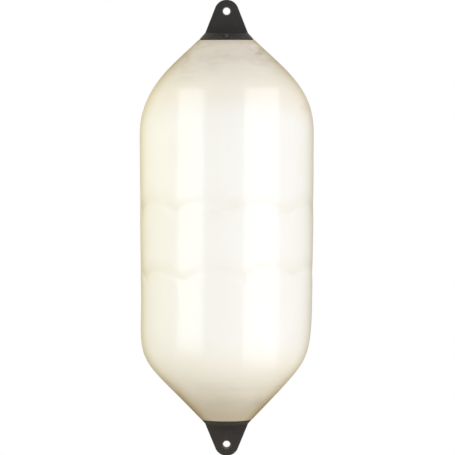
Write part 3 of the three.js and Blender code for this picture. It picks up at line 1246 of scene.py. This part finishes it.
@dataclass
class InflatedBody:
    """The sealed vinyl body, with the shallow folds and swells that an inflated skin has."""

    upper: Shoulder
    lower: Shoulder
    sides: int = 256
    barrel_steps: int = 150
    folds: tuple[Fold, ...] = (Fold(height=-0.424, first=-16.5), Fold(height=-0.570, first=-50.0))
    swell: float = 0.22 * MM
    swell_scale: tuple[float, float] = (8.0, 6.0)
    swell_fall: float = 1.0
    swell_step: float = 2.0
    swell_octaves: int = 2
    fullness: float = 0.1 * MM
    middle_fullness: float = 0.9 * MM
    middle: tuple[float, float] = (-0.5, 0.13)
    end_fade: float = 0.08
    lip_clear: float = 4.0 * MM
    leans: tuple[Lean, ...] = (
        Lean(height=-0.33, reach=0.22, move=0.3 * MM),
        Lean(height=-0.19, reach=0.05, move=1.4 * MM),
        Lean(height=-0.77, reach=0.075, move=-3.4 * MM),
    )

    @property
    def upper_ring(self) -> float:
        """The height of the edge between the upper eye's skirt and the vinyl."""
        return -self.upper.eye.ring_drop

    @property
    def lower_ring(self) -> float:
        """The height of the edge between the lower eye's skirt and the vinyl."""
        return self.lower.eye.place().translation.z + self.lower.eye.ring_drop

    def ends(self) -> tuple[Outline, Outline]:
        """Draws the lip and shoulder of each end as pairs of radius and height, from the ring inwards.

        Returns:
            The lower end and the upper one.
        """
        lower = [(radius, self.lower_ring + depth) for radius, depth in self.lower.outline()]
        upper = [(radius, self.upper_ring - depth) for radius, depth in self.upper.outline()]
        return lower, upper

    def side(self) -> Outline:
        """Draws the visible side from the lower lip to the upper one.

        Returns:
            Pairs of radius and height.
        """
        lower, upper = self.ends()
        start, end = Vector(lower[-1]), Vector(upper[-1])
        barrel = [tuple(start.lerp(end, i / self.barrel_steps)) for i in range(1, self.barrel_steps)]
        return [*lower, *barrel, *reversed(upper)]

    def build(self) -> bpy.types.Object:
        """Builds the body as one closed skin.

        Returns:
            The piece.
        """
        floor = [(radius, self.lower_ring + depth) for radius, depth in self.lower.socket()]
        roof = [(radius, self.upper_ring - depth) for radius, depth in self.upper.socket()]
        bm = turn([*floor, *self.side(), *reversed(roof)], self.sides)
        self.shape(bm)
        piece = to_object("body_skin", bm)
        finish = BodyVinyl(self.upper_ring, self.lower_ring, self.folds)
        dress(piece, finish.material(), "body_vinyl", "inflated_body")
        return piece

    def shape(self, bm: bmesh.types.BMesh) -> None:
        """Moves the skin in and out by the folds and the swells, and bends its axis a little.

        Args:
            bm: The body's mesh.
        """
        top, bottom = self.upper_ring, self.lower_ring
        wide, high = self.swell_scale
        for vertex in bm.verts:
            x, y, z = vertex.co
            radius = math.hypot(x, y)
            if radius < self.upper.eye.ring_radius + self.lip_clear:
                continue
            free = max(0.0, min(1.0, (top - z) / self.end_fade, (z - bottom) / self.end_fade))
            place = Vector((x * wide, y * wide, z * high))
            move = self.fullness + self.middle_fullness * self.bell(z, *self.middle)
            move += sum(fold.offset(x, y, z) for fold in self.folds)
            move += self.swell * noise.fractal(place, self.swell_fall, self.swell_step, self.swell_octaves)
            vertex.co.x += x / radius * move * free + self.leaning(z) * free
            vertex.co.y += y / radius * move * free

    def leaning(self, z: float) -> float:
        """Says how far the body's axis bends to the right at a height."""
        return sum(lean.move * self.bell(z, lean.height, lean.reach) for lean in self.leans)

    @staticmethod
    def bell(z: float, height: float, reach: float) -> float:
        """Falls off smoothly from 1 at a height, both ways alike."""
        return math.exp(-(((z - height) / reach) ** 2))


# Studio


@dataclass(frozen=True)
class Softbox:
    """A soft panel of light between two angles round the fender, counted from the camera's side."""

    name: str
    start: float
    end: float
    low: float
    high: float
    strength: float
    aim: float = -0.5
    colour: Colour = WHITE
    mirrored: bool = False
    distance: float = 1.0

    def build(self) -> None:
        """Puts the panel up, facing the fender."""
        middle = math.radians((self.start + self.end) / 2)
        width = 2 * self.distance * math.tan(math.radians((self.end - self.start) / 2))
        height = self.high - self.low
        outwards = Vector((math.sin(middle), -math.cos(middle), 0.0))
        lamp = bpy.data.lights.new(self.name, "AREA")
        lamp.shape = "RECTANGLE"
        lamp.size = width
        lamp.size_y = height
        lamp.energy = self.strength * math.pi * width * height
        lamp.color = self.colour
        panel = bpy.data.objects.new(self.name, lamp)
        panel.location = outwards * self.distance + Vector((0.0, 0.0, (self.low + self.high) / 2))
        towards = Vector((0.0, 0.0, self.aim)) - panel.location
        panel.rotation_euler = towards.to_track_quat("-Z", "Y").to_euler()
        panel.visible_camera = False
        panel.visible_glossy = self.mirrored
        bpy.context.scene.collection.objects.link(panel)


@dataclass(frozen=True)
class BentBank:
    """A bank of light bent so that its reflection on the body runs straight down, between two edges."""

    name: str
    edges: tuple[float, float]
    low: float
    high: float
    strength: float
    colour: Colour
    share: str = "share"
    fade: float = 0.07
    wobble: float = 1.6 * MM
    wobble_scale: tuple[float, float] = (3.0, 22.0)
    reach: float = 0.85
    columns: int = 8

    def build(self, side: Outline, eye: Vector) -> None:
        """Puts the bank up.

        Args:
            side: The body's side, as pairs of radius and height from the bottom up.
            eye: Where the reflection is seen from.
        """
        rows = [i for i in range(1, len(side) - 1) if self.low < side[i][1] < self.high]
        wide, high = self.wobble_scale
        bm = bmesh.new()
        bmesh.ops.create_grid(bm, x_segments=self.columns, y_segments=len(rows) - 1, size=0.5)
        shares = bm.verts.layers.float.new(self.share)
        for vertex in bm.verts:
            across = vertex.co.x + 0.5
            row = rows[round((vertex.co.y + 0.5) * (len(rows) - 1))]
            height = side[row][1]
            x = self.edges[0] + (self.edges[1] - self.edges[0]) * across
            x += self.wobble * noise.noise(Vector((across * wide, height * high, self.strength)))
            vertex[shares] = min(1.0, (height - side[rows[0]][1]) / self.fade)
            vertex.co = self.seen_from(side, row, x, eye)
        bmesh.ops.recalc_face_normals(bm, faces=bm.faces[:])
        first = next(iter(bm.faces))
        if first.normal.dot(first.calc_center_median().xy.to_3d()) > 0.0:
            bmesh.ops.reverse_faces(bm, faces=bm.faces[:])
        bank = to_object(self.name, bm)
        bank.data.materials.append(self.material())
        bank.visible_camera = False
        bank.visible_shadow = False
        bank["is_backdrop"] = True

    def seen_from(self, side: Outline, row: int, x: float, eye: Vector) -> Vector:
        """Follows the line of sight from the eye to a point of the body's front, and on by reflection.

        Args:
            side: The body's side, as pairs of radius and height.
            row: Which of them is looked at.
            x: How far to the right the point lies.
            eye: Where it is seen from.

        Returns:
            The place on the reflected line.
        """
        radius, height = side[row]
        step = Vector(side[row + 1]) - Vector(side[row - 1])
        out = Vector((step.y, -step.x)).normalized()
        depth = math.sqrt(radius * radius - x * x)
        point = Vector((x, -depth, height))
        normal = Vector((out.x * x / radius, -out.x * depth / radius, out.y))
        sight = (eye - point).normalized()
        return point + self.reach * (2.0 * normal.dot(sight) * normal - sight)

    def material(self) -> bpy.types.Material:
        """Makes the bank's glow, on its inner side only, fading out at its foot.

        Returns:
            The material.
        """
        material = bpy.data.materials.new(self.name)
        material.use_nodes = True
        material.node_tree.nodes.clear()
        nodes = Nodes(material.node_tree)
        back = nodes.add("ShaderNodeNewGeometry").outputs["Backfacing"]
        lit = nodes.add("ShaderNodeAttribute", {"attribute_name": self.share}).outputs["Fac"]
        share = nodes.maths("MULTIPLY", nodes.ramp(lit, 0.0, 1.0), nodes.maths("SUBTRACT", 1.0, back))
        clear = nodes.add("ShaderNodeBsdfTransparent")
        light = nodes.add("ShaderNodeEmission", Color=self.colour, Strength=self.strength)
        both = nodes.add("ShaderNodeMixShader", Fac=share)
        nodes.put(both.inputs[1], clear.outputs[0])
        nodes.put(both.inputs[2], light.outputs[0])
        nodes.add("ShaderNodeOutputMaterial", Surface=both.outputs[0])
        return material


@dataclass
class Studio:
    """A plain pale floor below the hanging fender, a white surround, banks of light and the camera."""

    side: Outline
    floor_drop: float = 0.85
    floor_radius: float = 2.0
    floor_sides: int = 128
    floor_roughness: float = 0.9
    floor_shades: tuple[Colour, Colour] = ((0.86, 0.86, 0.86), (0.9, 0.9, 0.9))
    mottle_scale: float = 3.0
    mottle_edges: tuple[float, float] = (0.3, 0.7)
    fill: float = 0.3
    camera_place: tuple[float, float, float] = (2.0 * MM, -9.2, -0.0615)
    overfill: float = 1.0012
    sensor: float = 36.0
    banks: tuple[BentBank, ...] = (
        BentBank(
            "left_bank",
            edges=(-0.1067, -0.0507),
            low=-0.780,
            high=-0.1705,
            strength=1.9,
            colour=(0.94, 0.965, 1.0),
        ),
        BentBank(
            "right_bank",
            edges=(0.0390, 0.1130),
            low=-0.808,
            high=-0.1685,
            strength=1.82,
            colour=WHITE,
        ),
    )
    softboxes: tuple[Softbox, ...] = (
        Softbox(
            "rear_left_softbox",
            start=-179.0,
            end=-156.0,
            low=-1.4,
            high=1.25,
            strength=1.9,
            mirrored=True,
        ),
        Softbox(
            "rear_right_softbox",
            start=156.0,
            end=179.0,
            low=-1.4,
            high=1.25,
            strength=1.9,
            mirrored=True,
        ),
        Softbox(
            "warm_softbox",
            start=-90.0,
            end=-45.0,
            low=-1.0,
            high=0.2,
            strength=0.9,
            colour=(1.0, 0.86, 0.14),
        ),
        Softbox(
            "low_softbox",
            start=-35.0,
            end=25.0,
            low=-1.75,
            high=-1.25,
            strength=1.05,
            aim=-0.8,
            colour=(1.0, 0.95, 0.78),
        ),
    )

    def build(self) -> None:
        """Sets up the floor, the surround, the lights and the camera."""
        self.floor()
        self.surround()
        for bank in self.banks:
            bank.build(self.side, Vector(self.camera_place))
        for softbox in self.softboxes:
            softbox.build()
        self.camera()

    def floor(self) -> None:
        """Lays the round pale floor, which keeps shadows and reflects as plain white."""
        low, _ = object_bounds()
        bm = bmesh.new()
        place = Matrix.Translation((0.0, 0.0, low.z - self.floor_drop))
        bmesh.ops.create_circle(
            bm,
            cap_ends=True,
            radius=self.floor_radius,
            segments=self.floor_sides,
            matrix=place,
        )
        floor = to_object("floor", bm)
        material, nodes, shader = new_material("pale_floor")
        place = nodes.add("ShaderNodeTexCoord").outputs["Object"]
        shade = nodes.ramp(nodes.speckle(place, self.mottle_scale), *self.mottle_edges)
        nodes.put(shader.inputs["Base Color"], nodes.blend(shade, *self.floor_shades))
        nodes.put(shader.inputs["Roughness"], self.floor_roughness)
        path = nodes.add("ShaderNodeLightPath").outputs
        mirrored = nodes.maths("MAXIMUM", path["Is Glossy Ray"], path["Is Transmission Ray"])
        white = nodes.add("ShaderNodeEmission", Color=WHITE, Strength=1.0)
        both = nodes.add("ShaderNodeMixShader", Fac=mirrored)
        nodes.put(both.inputs[1], shader.outputs[0])
        nodes.put(both.inputs[2], white.outputs[0])
        output = next(node for node in material.node_tree.nodes if node.type == "OUTPUT_MATERIAL")
        nodes.put(output.inputs["Surface"], both.outputs[0])
        floor.data.materials.append(material)
        floor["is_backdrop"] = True

    def surround(self) -> None:
        """Makes the surround white where it is seen, and a soft fill elsewhere."""
        world = bpy.data.worlds.new("surround")
        world.use_nodes = True
        world.node_tree.nodes.clear()
        nodes = Nodes(world.node_tree)
        path = nodes.add("ShaderNodeLightPath").outputs
        seen = nodes.maths("MAXIMUM", path["Is Camera Ray"], path["Is Glossy Ray"])
        seen = nodes.maths("MAXIMUM", seen, path["Is Transmission Ray"])
        strength = nodes.feed(nodes.add("ShaderNodeMapRange"), seen, 0.0, 1.0, self.fill, 1.0)
        light = nodes.add("ShaderNodeBackground", Color=WHITE, Strength=strength.outputs["Result"])
        nodes.add("ShaderNodeOutputWorld", Surface=light.outputs[0])
        bpy.context.scene.world = world

    def camera(self) -> None:
        """Puts the camera level with the upper ring, so that the fender just fills the picture's height."""
        low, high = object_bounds()
        _, back, height = self.camera_place
        up = math.atan2(high.z - height, -back)
        down = math.atan2(height - low.z, -back)
        lens = bpy.data.cameras.new("camera")
        lens.sensor_width = self.sensor
        lens.lens = self.overfill * self.sensor / 2 / math.tan((up + down) / 2)
        camera = bpy.data.objects.new("camera", lens)
        camera.location = self.camera_place
        camera.rotation_euler = (math.pi / 2 + (up - down) / 2, 0.0, 0.0)
        bpy.context.scene.collection.objects.link(camera)
        bpy.context.scene.camera = camera


def main() -> None:
    """Builds the fender's pieces and the studio round them."""
    logging.basicConfig(level=logging.INFO, format="%(name)s: %(message)s")
    bpy.context.scene.view_settings.view_transform = "Standard"
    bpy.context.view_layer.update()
    upper_eye = RopeEye(End.UPPER, skirt_drop=48.0 * MM, skirt_spread=14.3 * MM)
    lower_eye = RopeEye(End.LOWER, skirt_drop=45.3 * MM, skirt_spread=9.3 * MM, black=(0.037, 0.032, 0.029))
    valve = AirValve(upper_eye)
    upper_eye.build([(Cut.TAKE_AWAY, valve.bore())])
    lower_eye.build([(Cut.JOIN, lower_eye.boss())])
    valve.build()
    body = InflatedBody(
        upper=Shoulder(
            upper_eye,
            cone_angle=46.4,
            cone_pull=91.0 * MM,
            barrel_pull=100.0 * MM,
            length=209.7 * MM,
            barrel_radius=194.4 * MM,
        ),
        lower=Shoulder(
            lower_eye,
            cone_angle=43.3,
            cone_pull=194.5 * MM,
            barrel_pull=145.0 * MM,
            length=264.0 * MM,
            barrel_radius=191.0 * MM,
        ),
    )
    body.build()
    Studio(body.side()).build()


if __name__ == "__main__":
    main()
